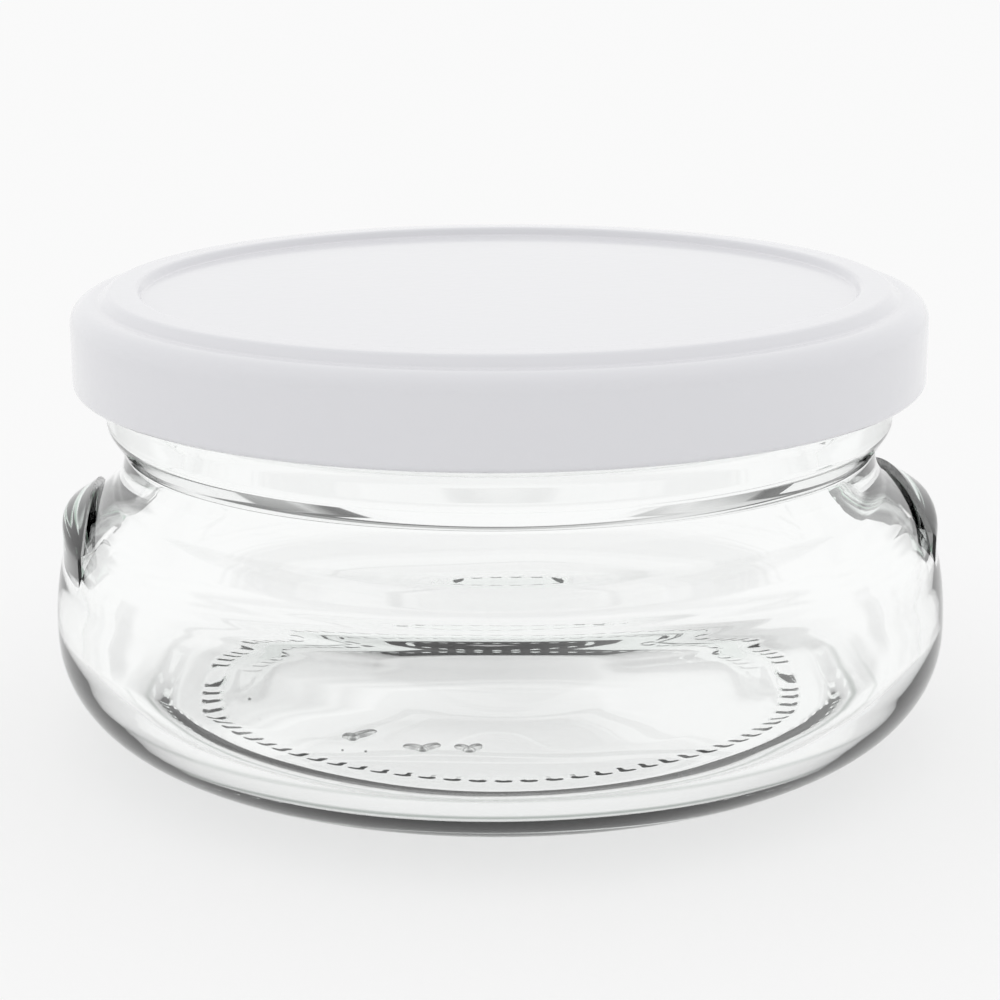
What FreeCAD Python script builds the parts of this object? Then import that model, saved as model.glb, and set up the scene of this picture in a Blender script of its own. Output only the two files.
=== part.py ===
"""Low wide glass jar with a twist-off steel cap, as a parametric model in millimetres.

The jar stands on the plane z = 0 with its axis on +Z; its two moulded grips lie on the X axis.
Three pieces: the glass, the pressed cap screwed down on it, and the sealing ring between them.
"""
import FreeCAD, Part

import math
import os
import re

import Sketcher

doc = FreeCAD.newDocument("JarWithTwistCap")

# ---------------------------------------------------------------- driving dimensions
driving = [
    # glass: belly and shoulder
    ("bellyOverhang", 6.41, "largest radius of the glass beyond the finish"),
    ("wallHeight", 7.63, "from the shoulder's corner down to where the wall turns upright"),
    ("bellyLean", 7.0, "lean of the upper wall, degrees from upright"),
    ("bellyBlend", 30.0, "arc between the upright and the leaning wall"),
    ("shoulderDrop", 5.42, "from the neck's foot down to the shoulder's corner"),
    ("shoulderBlend", 13.0, "arc from the wall into the shoulder"),
    # glass: neck and bead, in a chain down from the cap's lower edge
    ("neckInset", 0.98, "narrowest part under the bead, in from the finish"),
    ("neckLength", 2.85, "from the bead's foot down to the neck's foot"),
    ("neckBlend", 4.5, "hollow arc from shoulder to neck"),
    ("beadProud", 0.60, "transfer bead below the cap, out from the finish"),
    ("beadLength", 5.40, "from the bead's upper edge down to its foot"),
    ("beadSlope", 33.0, "underside of the bead, degrees from upright"),
    ("beadGap", 0.90, "from the cap's lower edge down to the bead"),
    ("beadFootBlend", 1.6, "arc from the neck out to the bead"),
    ("beadEdgeBlend", 2.0, "arc at the bead's lower edge"),
    ("beadTopBlend", 0.9, "arc at the bead's upper edge"),
    ("beadLead", 0.8, "height of the slope from bead to finish"),
    # glass: finish
    ("rimHeight", 45.00, "sealing rim above the base plane"),
    ("finishRadius", 38.95, "outside of the finish between the threads"),
    ("rimOuterBlend", 1.10, "rounding of the rim, outside"),
    ("rimInnerBlend", 0.90, "rounding of the rim, inside"),
    # glass: heel and base
    ("heelWidth", 11.35, "from the belly in to the bearing ring"),
    ("heelAngle", 22.0, "slope of the underside beside the bearing ring"),
    ("heelBlend", 10.0, "arc from the underside to the belly"),
    ("bearingWidth", 5.5, "width of the bearing ring"),
    ("bearingBlend", 0.8, "rounding of the bearing ring's outer edge"),
    ("puntStep", 0.55, "step up inside the bearing ring"),
    ("puntLead", 0.6, "width of the step's sloping side"),
    ("puntBlend", 0.4, "rounding at the top of the step"),
    ("puntRise", 0.75, "further rise of the underside to its middle"),
    ("puntFlat", 12.0, "radius of the level middle of the underside"),
    ("knurlInset", 3.8, "from the bearing ring's outer edge in to the ribs' middle"),
    ("knurlDepth", 0.35, "height of the ribs under the bearing ring"),
    ("knurlLength", 2.2, "length of a rib along the radius"),
    ("knurlWidth", 1.25, "width of a rib"),
    ("knurlCount", 80, "ribs round the ring"),
    # glass: inside
    ("mouthWall", 2.65, "wall at the mouth"),
    ("neckWall", 2.60, "wall at the neck"),
    ("bodyWall", 2.30, "wall of the body"),
    ("floorHeight", 4.20, "inside floor above the base plane, at its edge"),
    ("floorCrown", 0.25, "rise of the inside floor to its middle"),
    ("floorFlat", 16.0, "radius of the level middle of the floor"),
    ("innerHeelBlend", 8.2, "inside arc from floor to wall"),
    ("mouthDrop", 1.00, "from the bead's upper edge down to where the mouth narrows"),
    ("boreRise", 0.60, "from the bead's foot up to where the neck's bore starts"),
    ("mouthBlend", 6.0, "arc below the mouth"),
    ("boreBlend", 4.0, "arc above the neck's bore"),
    ("innerNeckBlend", 6.0, "inside arc from the bore to the shoulder"),
    # grips on the shoulder
    ("gripInset", 0.94, "outer wall of a grip, in from the belly"),
    ("gripProud", 2.97, "thickness of a grip at its middle"),
    ("gripTip", 0.30, "blunt end of a grip's thin tips"),
    ("gripRise", 1.55, "top of a grip's outer wall above the shoulder's corner"),
    ("gripSlope", 32.0, "fall of a grip's top outward, degrees from level"),
    ("gripCrown", 47.0, "radius of a grip's top from tip to tip"),
    ("gripDrop", 4.43, "lower end of a grip below the shoulder's corner, inside the wall"),
    # lug thread of the finish
    ("threadCount", 6, "thread segments, one for each lug"),
    ("threadSweep", 46.0, "length of a segment, degrees"),
    ("threadRise", 1.10, "climb of a segment from end to end"),
    ("threadWidth", 1.90, "height of a segment's section"),
    ("threadDepth", 1.15, "how far a segment stands out"),
    ("threadLow", 0.3, "rounding of a segment's lower edge"),
    ("threadHigh", 0.5, "rounding of a segment's upper edge"),
    ("threadRoot", 0.4, "depth of a segment's root in the glass"),
    # cap
    ("steel", 0.25, "lacquered tinplate"),
    ("skirtGap", 2.30, "clearance between the threads and the inside of the skirt"),
    ("capHeight", 9.50, "from the crest down to the skirt's lower edge"),
    ("ledgeDrop", 1.00, "shoulder ledge below the crest"),
    ("skirtBlend", 2.0, "rounded edge from skirt to ledge"),
    ("crestInset", 0.10, "outer edge of the raised ring, in from the finish"),
    ("crestSlope", 45.0, "outer side of the raised ring, degrees from level"),
    ("crestBlend", 0.55, "rounding of the ring's outer edge"),
    ("panelClear", 0.25, "inner edge of the raised ring, in from the mouth"),
    ("panelDrop", 0.85, "flat panel below the crest"),
    ("panelSlope", 60.0, "step from ring to panel, degrees from level"),
    ("panelBlend", 0.35, "rounding of that step"),
    ("curlWidth", 1.50, "width of the rolled lower edge"),
    ("curlHeight", 1.35, "height of the rolled lower edge"),
    ("curlBlend", 0.70, "outer arc of the roll"),
    ("lugWidth", 8.0, "width of a lug along the curl"),
    ("lugClear", 0.30, "clearance between a lug's nose and the finish"),
    ("lugHeight", 1.70, "upper face of a lug above the lower edge"),
    ("lugGap", 0.04, "clearance between lug and thread"),
    ("lugNose", 0.90, "height of a lug's nose"),
    ("lugTopBlend", 0.35, "rounding above the nose"),
    ("lugUnderBlend", 0.30, "rounding below the nose"),
    # sealing ring
    ("sealThickness", 0.75, "compound between rim and crest"),
    ("sealInset", 0.30, "clear of the crest's sloping sides"),
]
aliases = {alias for alias, _, _ in driving}

dims = doc.addObject("Spreadsheet::Sheet", "dims")
dims.Label = "dims"
for row, (alias, value, note) in enumerate(driving, start=1):
    dims.set("A%d" % row, alias)
    dims.set("B%d" % row, str(value))
    dims.set("C%d" % row, note)
    dims.setAlias("B%d" % row, alias)
doc.recompute()


def sheetSize(expression):
    """Value of an expression over the sheet's cells, as a plain number."""
    value = dims.evalExpression(expression)
    return float(getattr(value, "Value", value))


# ---------------------------------------------------------------- helpers
def originPlane(body, role):
    """The origin plane of a body with the given role."""
    for feature in body.Origin.OriginFeatures:
        if feature.Role == role:
            return feature
    raise ValueError("no origin plane " + role)


def newBody(name):
    """An empty PartDesign body."""
    body = doc.addObject("PartDesign::Body", name)
    body.Label = name
    return body


def newSketch(body, name, role="XZ_Plane"):
    """A sketch on one of the body's own origin planes."""
    sketch = body.newObject("Sketcher::SketchObject", name)
    sketch.AttachmentSupport = [(originPlane(body, role), "")]
    sketch.MapMode = "FlatFace"
    return sketch


def bound(expression):
    """The expression as objects outside the sheet write it, with dims. before each alias."""
    return re.sub(r"\w+", lambda word: "dims." + word[0] if word[0] in aliases else word[0],
                  expression)


def addRoundedOutline(sketch, corners):
    """Close an outline of straight runs whose corners lie where the expressions say.

    Each corner is (x, y, blend): two expressions for its place and one for the radius of the
    tangent arc that rounds it, or None for a sharp corner. The corner of a rounded one stays
    in the sketch as a point on both of its runs, so every size is a constraint.
    """
    points = []
    for across, up, _ in corners:
        points.append(FreeCAD.Vector(sheetSize(across), sheetSize(up), 0))
    count = len(corners)
    incoming = [None] * count
    outgoing = [None] * count
    arcs = [None] * count
    for index, (_, _, blend) in enumerate(corners):
        corner = points[index]
        incoming[index] = corner
        outgoing[index] = corner
        if blend is None:
            continue
        before = (points[index - 1] - corner).normalize()
        after = (points[(index + 1) % count] - corner).normalize()
        half = before.getAngle(after) / 2
        radius = sheetSize(blend)
        incoming[index] = corner + before * (radius / math.tan(half))
        outgoing[index] = corner + after * (radius / math.tan(half))
        centre = corner + (before + after).normalize() * (radius / math.sin(half))
        start, end = incoming[index], outgoing[index]
        turn = (start - centre).cross(end - centre).z
        if turn < 0:
            start, end = end, start
        first = math.atan2(start.y - centre.y, start.x - centre.x)
        last = math.atan2(end.y - centre.y, end.x - centre.x)
        if last < first:
            last += 2 * math.pi
        circle = Part.Circle(centre, FreeCAD.Vector(0, 0, 1), radius)
        arcs[index] = (Part.ArcOfCircle(circle, first, last), turn >= 0)

    lines = []
    for index in range(count):
        run = Part.LineSegment(outgoing[index], incoming[(index + 1) % count])
        lines.append(sketch.addGeometry(run, False))
    for index, (across, up, blend) in enumerate(corners):
        lineIn, lineOut = lines[index - 1], lines[index]
        if blend is None:
            holder, spot = lineOut, 1
            sketch.addConstraint(Sketcher.Constraint("Coincident", lineIn, 2, lineOut, 1))
        else:
            arc, forward = arcs[index]
            arcId = sketch.addGeometry(arc, False)
            startEnd, finishEnd = (1, 2) if forward else (2, 1)
            sketch.addConstraint(Sketcher.Constraint("Tangent", lineIn, 2, arcId, startEnd))
            sketch.addConstraint(Sketcher.Constraint("Tangent", arcId, finishEnd, lineOut, 1))
            size = sketch.addConstraint(Sketcher.Constraint("Radius", arcId, sheetSize(blend)))
            sketch.setExpression("Constraints[%d]" % size, bound(blend))
            holder, spot = sketch.addGeometry(Part.Point(points[index]), True), 1
            sketch.addConstraint(Sketcher.Constraint("PointOnObject", holder, 1, lineIn))
            sketch.addConstraint(Sketcher.Constraint("PointOnObject", holder, 1, lineOut))
        placePoint(sketch, holder, spot, across, up, points[index])


def placePoint(sketch, geometry, spot, across, up, point):
    """Bind a point's distances from the sketch's origin to expressions."""
    for kind, expression, value, axis in (("DistanceX", across, point.x, -2),
                                          ("DistanceY", up, point.y, -1)):
        if expression == "0":
            sketch.addConstraint(Sketcher.Constraint("PointOnObject", geometry, spot, axis))
            continue
        made = sketch.addConstraint(Sketcher.Constraint(kind, -1, 1, geometry, spot, value))
        sketch.setExpression("Constraints[%d]" % made, bound(expression))


def revolve(body, sketch, name, angle=None):
    """Turn a sketch about the jar's axis, all round or by an angle centred on the sketch."""
    feature = body.newObject("PartDesign::Revolution", name)
    feature.Profile = sketch
    feature.ReferenceAxis = (sketch, ["V_Axis"])
    feature.Angle = 360
    if angle is not None:
        feature.Midplane = True
        feature.setExpression("Angle", bound(angle))
    sketch.Visibility = False
    return feature


def polarPattern(body, feature, name, count):
    """Repeat a feature round the jar's axis."""
    pattern = body.newObject("PartDesign::PolarPattern", name)
    pattern.Originals = [feature]
    pattern.Axis = (originAxis(body), [""])
    pattern.Angle = 360
    pattern.setExpression("Occurrences", bound(count))
    body.Tip = pattern
    return pattern


def originAxis(body):
    """The body's own Z axis."""
    for feature in body.Origin.OriginFeatures:
        if feature.Role == "Z_Axis":
            return feature
    raise ValueError("no Z axis")


def checked(feature, base, grows):
    """Recompute and make sure that a feature added or removed material."""
    doc.recompute()
    change = feature.Shape.Volume - base.Shape.Volume
    if (change > 0) != grows or abs(change) < 1e-3:
        raise RuntimeError("%s left the volume at %.3f" % (feature.Label, change))
    return feature


# ---------------------------------------------------------------- sizes that follow from others
def limited(blend, run, turn):
    """A blend's radius, kept within the straight run that its arc takes up, for a turn in degrees."""
    return "min(%s; 0.97*(%s)/tan((%s)/2*1deg))" % (blend, run, turn)


bellyRadius = "(finishRadius + bellyOverhang)"
neckRadius = "(finishRadius - neckInset)"
beadRadius = "(finishRadius + beadProud)"
crestTop = "(rimHeight + sealThickness + steel)"
capBottom = "(rimHeight + sealThickness + steel - capHeight)"
capRadius = "(finishRadius + threadDepth + skirtGap + steel)"
lugReach = "(finishRadius + lugClear)"
mouthBore = "(finishRadius - mouthWall)"
neckBore = "(%s - neckWall)" % neckRadius
beadTop = "(%s - beadGap)" % capBottom
beadFoot = "(%s - beadLength)" % beadTop
beadWidest = "(%s + (beadProud + neckInset)/tan(beadSlope*1deg))" % beadFoot
neckFoot = "(%s - neckLength)" % beadFoot
shoulderUp = "(%s - shoulderDrop)" % neckFoot
bellyHeight = "(%s - wallHeight)" % shoulderUp
shoulderAcross = "(%s - wallHeight*tan(bellyLean*1deg))" % bellyRadius
slopeTan = "((%s - %s)/shoulderDrop)" % (shoulderAcross, neckRadius)
slopeAngle = "(atan(%s)/1deg)" % slopeTan
bearingOuter = "(%s - heelWidth)" % bellyRadius
bearingInner = "(%s - bearingWidth)" % bearingOuter
heelUp = "(knurlDepth + heelWidth*tan(heelAngle*1deg))"

# ---------------------------------------------------------------- glass: blown body
# The belly's arc takes at most a quarter of the upright wall, and the heel's arcs take the rest.
uprightRun = "(%s - %s)" % (bellyHeight, heelUp)
outerBelly = limited("bellyBlend", uprightRun + "/4", "bellyLean")
bellyReach = "%s*tan(bellyLean/2*1deg)" % outerBelly
wallRun = "wallHeight/cos(bellyLean*1deg) - " + bellyReach
bellyRun = bellyHeight + " - %s - " + bellyReach
neckRun = "neckLength - beadFootBlend*tan(beadSlope/2*1deg)"
shoulderTurn = "%s - bellyLean" % slopeAngle
midLean = "(%s + bellyLean)/2*1deg" % slopeAngle
wallShift = "bodyWall/cos((%s)/2*1deg)" % shoulderTurn

glassOutline = [
    ("0", "puntStep + knurlDepth + puntRise", None),
    ("puntFlat", "puntStep + knurlDepth + puntRise", None),
    ("%s - puntLead" % bearingInner, "puntStep + knurlDepth", "puntBlend"),
    (bearingInner, "knurlDepth", None),
    (bearingOuter, "knurlDepth", "bearingBlend"),
    (bellyRadius, heelUp, limited("heelBlend", bellyRun % heelUp, "90 - heelAngle")),
    (bellyRadius, bellyHeight, outerBelly),
    (shoulderAcross, shoulderUp, limited("shoulderBlend", wallRun, shoulderTurn)),
    (neckRadius, neckFoot, limited("neckBlend", neckRun, slopeAngle)),
    (neckRadius, beadFoot, "beadFootBlend"),
    (beadRadius, beadWidest, "beadEdgeBlend"),
    (beadRadius, beadTop, "beadTopBlend"),
    ("finishRadius", "%s + beadLead" % beadTop, "beadTopBlend/2"),
    ("finishRadius", "rimHeight", "rimOuterBlend"),
    (mouthBore, "rimHeight", "rimInnerBlend"),
    (mouthBore, "%s - mouthDrop" % beadTop, "mouthBlend"),
    (neckBore, "%s + boreRise" % beadFoot, "boreBlend"),
    (neckBore, "%s - neckWall*tan(%s/2*1deg)" % (neckFoot, slopeAngle), "innerNeckBlend"),
    ("%s - %s*cos(%s)" % (shoulderAcross, wallShift, midLean),
     "%s - %s*sin(%s)" % (shoulderUp, wallShift, midLean),
     limited("(shoulderBlend - bodyWall)", wallRun + " - bodyWall", shoulderTurn)),
    ("%s - bodyWall" % bellyRadius, bellyHeight, outerBelly + " - bodyWall"),
    ("%s - bodyWall" % bellyRadius, "floorHeight",
     limited("innerHeelBlend", bellyRun % "floorHeight", "90")),
    ("floorFlat", "floorHeight + floorCrown", None),
    ("0", "floorHeight + floorCrown", None),
]
blank = newBody("glass_blank")
blankSketch = newSketch(blank, "glass_outline")
addRoundedOutline(blankSketch, glassOutline)
blankTurned = revolve(blank, blankSketch, "glass_turned")
doc.recompute()

# ---------------------------------------------------------------- glass: ribs under the base
ribSketch = newSketch(blank, "knurl_plan", "XY_Plane")
ribMiddle = "(%s - knurlInset)" % bearingOuter
addRoundedOutline(ribSketch, [
    ("%s - knurlLength/2" % ribMiddle, "-knurlWidth/2", None),
    ("%s + knurlLength/2" % ribMiddle, "-knurlWidth/2", None),
    ("%s + knurlLength/2" % ribMiddle, "knurlWidth/2", None),
    ("%s - knurlLength/2" % ribMiddle, "knurlWidth/2", None),
])
rib = blank.newObject("PartDesign::Pad", "knurl_rib")
rib.Profile = ribSketch
rib.setExpression("Length", bound("knurlDepth*2"))
checked(rib, blankTurned, True)
ribs = polarPattern(blank, rib, "knurl_ribs", "knurlCount")
checked(ribs, rib, True)

# ---------------------------------------------------------------- glass: grips on the shoulder
# Each grip is a crescent lump on the rounded shoulder, between the outer wall and a flat side
# parallel to Y, the way the mould halves draw. Its top falls outward, and toward both tips.
gripRing = newBody("grip_ring")
gripSketch = newSketch(gripRing, "grip_outline")
gripRadius = "(%s - gripInset)" % bellyRadius
gripChord = "(%s - gripProud)" % gripRadius
gripInner = "(%s - bodyWall/2)" % gripChord
gripReach = "sqrt(%s^2 - (%s + gripTip)^2)" % (gripRadius, gripChord)
gripFoot = "%s - gripDrop" % shoulderUp
middleOfWall = "(%s - (%s - %s)/%s - bodyWall/2/sin(%s*1deg))" % (
    neckFoot, gripInner, neckRadius, slopeTan, slopeAngle)
addRoundedOutline(gripSketch, [
    ("%s - bodyWall/2" % gripRadius, gripFoot, None),
    (gripRadius, gripFoot, None),
    (gripRadius, neckFoot, None),
    (gripInner, neckFoot, None),
    (gripInner, middleOfWall, None),
])
revolve(gripRing, gripSketch, "grip_turned")
crownAcross = "(%s - gripCrown*sin(gripSlope*1deg) - 4*gripProud*cos(gripSlope*1deg))" % gripRadius
crownUp = "(%s + gripRise - gripCrown*cos(gripSlope*1deg) + 4*gripProud*sin(gripSlope*1deg))" % shoulderUp
grips = []
for side, name in ((1, "grip_right"), (-1, "grip_left")):
    block = doc.addObject("Part::Box", name + "_block")
    block.setExpression("Length", bound("2*gripProud"))
    block.setExpression("Width", bound("2*" + gripReach))
    block.setExpression("Height", bound("rimHeight"))
    inner = gripChord if side > 0 else "-%s - 2*gripProud" % gripChord
    block.setExpression("Placement.Base.x", bound(inner))
    block.setExpression("Placement.Base.y", bound("-" + gripReach))
    crown = doc.addObject("Part::Cylinder", name + "_crown")
    crown.setExpression("Radius", bound("gripCrown"))
    crown.setExpression("Height", bound("8*gripProud"))
    crown.Placement = FreeCAD.Placement(FreeCAD.Vector(), FreeCAD.Rotation(FreeCAD.Vector(0, 1, 0), 90))
    crown.setExpression("Placement.Rotation.Angle", bound("%d*(90 + gripSlope)*1deg" % side))
    crown.setExpression("Placement.Base.x", bound("%d*%s" % (side, crownAcross)))
    crown.setExpression("Placement.Base.z", bound(crownUp))
    grip = doc.addObject("Part::MultiCommon", name)
    grip.Shapes = [gripRing, block, crown]
    grips.append(grip)
doc.recompute()

# ---------------------------------------------------------------- glass: lug thread
# One sloping rib of the finish for each lug. Its underside clears the lug's upper face by
# lugGap at the end where the lug stops, and rises away from it.
pitch = "(threadRise*360/threadSweep)"
lugAngle = "(lugWidth/%s*180/pi)" % lugReach
segmentLow = "(%s + lugHeight + lugGap + threadRise*%s/2/threadSweep)" % (capBottom, lugAngle)
threads = []
threadBody = newBody("thread_segment")
threadSketch = newSketch(threadBody, "thread_section")
threadStart = "(%s - threadRise/2)" % segmentLow
addRoundedOutline(threadSketch, [
    ("finishRadius - threadRoot", threadStart, None),
    ("finishRadius + threadDepth", threadStart, "threadLow"),
    ("finishRadius + threadDepth", "%s + threadWidth/2" % threadStart, "threadHigh"),
    ("finishRadius", "%s + threadWidth" % threadStart, None),
    ("finishRadius - threadRoot", "%s + threadWidth" % threadStart, None),
])
thread = threadBody.newObject("PartDesign::AdditiveHelix", "thread_climb")
thread.Profile = threadSketch
thread.ReferenceAxis = (threadSketch, ["V_Axis"])
thread.Mode = "pitch-height-angle"
thread.setExpression("Pitch", bound(pitch))
thread.setExpression("Height", bound("threadRise"))
thread.Angle = 0
doc.recompute()
polarPattern(threadBody, thread, "thread_round", "threadCount")
threadBody.setExpression("Placement.Rotation.Angle", bound("-threadSweep/2"))
doc.recompute()

glass = doc.addObject("Part::MultiFuse", "glass_jar")
glass.Label = "glass_jar"
glass.Shapes = [blank] + grips + [threadBody]
glass.Refine = True
doc.recompute()

# ---------------------------------------------------------------- cap: pressed steel
ledgeTop = "(%s - ledgeDrop)" % crestTop
panelTop = "(%s - panelDrop)" % crestTop
crestOuter = "(finishRadius - crestInset)"
crestInner = "(%s - panelClear)" % mouthBore
ledgeInner = "(%s + ledgeDrop/tan(crestSlope*1deg))" % crestOuter
panelOuter = "(%s - panelDrop/tan(panelSlope*1deg))" % crestInner
curlInner = "(%s - curlWidth)" % capRadius
crestShift = "steel*tan(crestSlope/2*1deg)"
panelShift = "steel*tan(panelSlope/2*1deg)"
capOutline = [
    ("0", panelTop, None),
    (panelOuter, panelTop, "panelBlend"),
    (crestInner, crestTop, "panelBlend + steel"),
    (crestOuter, crestTop, "crestBlend + steel"),
    (ledgeInner, ledgeTop, "crestBlend"),
    (capRadius, ledgeTop, "skirtBlend"),
    (capRadius, capBottom, "curlBlend"),
    (curlInner, capBottom, "curlBlend"),
    (curlInner, "%s + curlHeight" % capBottom, None),
    ("%s + steel" % curlInner, "%s + curlHeight" % capBottom, None),
    ("%s + steel" % curlInner, "%s + steel" % capBottom, "curlBlend - steel"),
    ("%s - steel" % capRadius, "%s + steel" % capBottom, "curlBlend - steel"),
    ("%s - steel" % capRadius, "%s - steel" % ledgeTop, "skirtBlend - steel"),
    ("%s - %s" % (ledgeInner, crestShift), "%s - steel" % ledgeTop, "crestBlend + steel"),
    ("%s - %s" % (crestOuter, crestShift), "%s - steel" % crestTop, "crestBlend"),
    ("%s + %s" % (crestInner, panelShift), "%s - steel" % crestTop, "panelBlend"),
    ("%s + %s" % (panelOuter, panelShift), "%s - steel" % panelTop, "panelBlend + steel"),
    ("0", "%s - steel" % panelTop, None),
]
cap = newBody("twist_cap")
capSketch = newSketch(cap, "cap_outline")
addRoundedOutline(capSketch, capOutline)
capTurned = revolve(cap, capSketch, "cap_turned")
doc.recompute()

# Each lug is the curl pressed in: a nose under the thread, carried by the curl's inner wall.
lugSketch = newSketch(cap, "lug_section")
lugTop = "%s + lugHeight" % capBottom
addRoundedOutline(lugSketch, [
    ("%s + steel/2" % curlInner, "%s + curlBlend" % capBottom, None),
    ("%s + steel/2" % curlInner, lugTop, None),
    (lugReach, lugTop, "lugTopBlend"),
    (lugReach, "%s - lugNose" % lugTop, "lugUnderBlend"),
])
lug = revolve(cap, lugSketch, "lug_pressed", lugAngle)
checked(lug, capTurned, True)
lugs = polarPattern(cap, lug, "lugs_round", "threadCount")
checked(lugs, lug, True)

# ---------------------------------------------------------------- sealing ring
seal = newBody("sealing_ring")
sealSketch = newSketch(seal, "seal_section")
sealTop = "rimHeight + sealThickness"
sealInner = "%s + %s + sealInset" % (crestInner, panelShift)
sealOuter = "%s - %s - sealInset" % (crestOuter, crestShift)
addRoundedOutline(sealSketch, [
    (sealInner, "rimHeight", None),
    (sealOuter, "rimHeight", None),
    (sealOuter, sealTop, None),
    (sealInner, sealTop, None),
])
revolve(seal, sealSketch, "seal_turned")
doc.recompute()

# ---------------------------------------------------------------- checks and files
pieces = [glass, cap, seal]
for made in doc.Objects:
    if "Invalid" in made.State or "Error" in made.State:
        raise RuntimeError("%s failed: %s" % (made.Label, made.State))
for piece in pieces:
    if piece.Shape.isNull() or not piece.Shape.isValid() or len(piece.Shape.Solids) != 1:
        raise RuntimeError("%s is not one valid solid" % piece.Label)

os.makedirs("parts", exist_ok=True)
for piece in pieces:
    piece.Shape.exportStep(os.path.join("parts", piece.Label + ".step"))
    box = piece.Shape.BoundBox
    print("%-14s volume %9.1f mm3, x %.2f..%.2f, z %.2f..%.2f, faces %d" % (
        piece.Label, piece.Shape.Volume, box.XMin, box.XMax, box.ZMin, box.ZMax,
        len(piece.Shape.Faces)))
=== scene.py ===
import math

import bpy
from mathutils import Matrix, Vector, noise


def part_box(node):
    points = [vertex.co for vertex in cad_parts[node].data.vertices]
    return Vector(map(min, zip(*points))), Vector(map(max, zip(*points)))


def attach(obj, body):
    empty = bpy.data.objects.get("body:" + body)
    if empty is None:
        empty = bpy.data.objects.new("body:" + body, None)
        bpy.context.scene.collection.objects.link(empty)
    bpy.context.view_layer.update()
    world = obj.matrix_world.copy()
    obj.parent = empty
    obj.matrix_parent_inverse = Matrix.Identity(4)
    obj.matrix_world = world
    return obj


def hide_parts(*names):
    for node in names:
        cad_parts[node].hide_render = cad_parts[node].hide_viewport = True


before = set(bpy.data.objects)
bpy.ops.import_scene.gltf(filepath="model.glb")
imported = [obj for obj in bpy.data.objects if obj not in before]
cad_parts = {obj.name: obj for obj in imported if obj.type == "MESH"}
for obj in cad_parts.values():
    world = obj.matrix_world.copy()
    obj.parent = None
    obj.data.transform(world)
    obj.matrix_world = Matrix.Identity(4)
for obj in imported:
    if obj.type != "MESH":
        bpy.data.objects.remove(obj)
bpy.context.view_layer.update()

mm = 0.001                                      # sizes are in millimetres until a mesh is made
print("frame loaded: nodes", sorted(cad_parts))


def roundedOutline(corners, arcStep=6.0, runStep=6.0):
    # corners: (radius, height, blend or None); a blend is an arc tangent to both runs beside it
    # arcs are divided every arcStep degrees, runs every runStep millimetres
    places = [Vector((corner[0], corner[1])) for corner in corners]
    points = [places[0]]
    for index in range(1, len(corners)):
        corner, blend = places[index], corners[index][2]
        arc = [corner]
        if blend:
            before = (places[index - 1] - corner).normalized()
            after = (places[index + 1] - corner).normalized()
            half = before.angle(after) / 2
            start = corner + before * (blend / math.tan(half))
            end = corner + after * (blend / math.tan(half))
            centre = corner + (before + after).normalized() * (blend / math.sin(half))
            turn = math.pi - 2 * half
            steps = max(3, math.ceil(math.degrees(turn) / arcStep))
            arc = []
            for step in range(steps + 1):
                share = step / steps
                fromStart = (start - centre) * math.sin((1 - share) * turn)
                fromEnd = (end - centre) * math.sin(share * turn)
                arc.append(centre + (fromStart + fromEnd) / math.sin(turn))
        run = arc[0] - points[-1]
        divisions = max(1, math.ceil(run.length / runStep))
        for division in range(1, divisions):
            points.append(points[-1] + run / divisions)
        points.extend(arc)
    return [(point.x, point.y) for point in points]


def atRadius(points, radius):
    # height where an outline, on its way inward, crosses a radius
    for (radiusA, heightA), (radiusB, heightB) in zip(points, points[1:]):
        if radiusB <= radius <= radiusA and radiusA != radiusB:
            return heightA + (heightB - heightA) * (radius - radiusA) / (radiusB - radiusA)
    raise ValueError("the outline doesn't reach that radius")


def smoothStep(value):
    value = min(1.0, max(0.0, value))
    return value * value * (3 - 2 * value)


def evenAngles(count):
    return [2 * math.pi * column / count for column in range(count)]


def around(radius, angle, height):
    return radius * math.cos(angle), radius * math.sin(angle), height


def fromNearest(angle, count):
    # signed angle from the middle of the nearest of count places set evenly round the axis
    pitch = 2 * math.pi / count
    return (angle + pitch / 2) % pitch - pitch / 2


def buildPiece(name, shapes, sharpAngle):
    # a shape is a list of rings of (x, y, z) with equal counts; a ring of one point closes it on the axis
    vertices, faces = [], []
    for rows in shapes:
        starts = []
        for ring in rows:
            starts.append(len(vertices))
            vertices.extend((x * mm, y * mm, z * mm) for x, y, z in ring)
        for index in range(len(rows) - 1):
            first, second = starts[index], starts[index + 1]
            count = max(len(rows[index]), len(rows[index + 1]))
            for column in range(count):
                following = (column + 1) % count
                if len(rows[index]) == 1:
                    faces.append((first, second + following, second + column))
                elif len(rows[index + 1]) == 1:
                    faces.append((first + column, first + following, second))
                else:
                    faces.append((first + column, first + following, second + following, second + column))
    mesh = bpy.data.meshes.new(name)
    mesh.from_pydata(vertices, [], faces)
    mesh.validate()
    mesh.shade_smooth()
    mesh.set_sharp_from_angle(angle=math.radians(sharpAngle))
    piece = bpy.data.objects.new(name, mesh)
    bpy.context.scene.collection.objects.link(piece)
    return piece


# what the materials, the floor and the room are made with
def newMaterial(name):
    material = bpy.data.materials.new(name)
    material.use_nodes = True
    tree = material.node_tree
    return material, tree, tree.nodes["Principled BSDF"]


def feed(tree, socket, term):
    # a term is a number or another node's output
    if isinstance(term, (int, float)):
        socket.default_value = term
    else:
        tree.links.new(term, socket)


def calculate(tree, operation, first, second=0.0, clamp=False):
    node = tree.nodes.new("ShaderNodeMath")
    node.operation = operation
    node.use_clamp = clamp
    feed(tree, node.inputs[0], first)
    feed(tree, node.inputs[1], second)
    return node.outputs["Value"]


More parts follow.
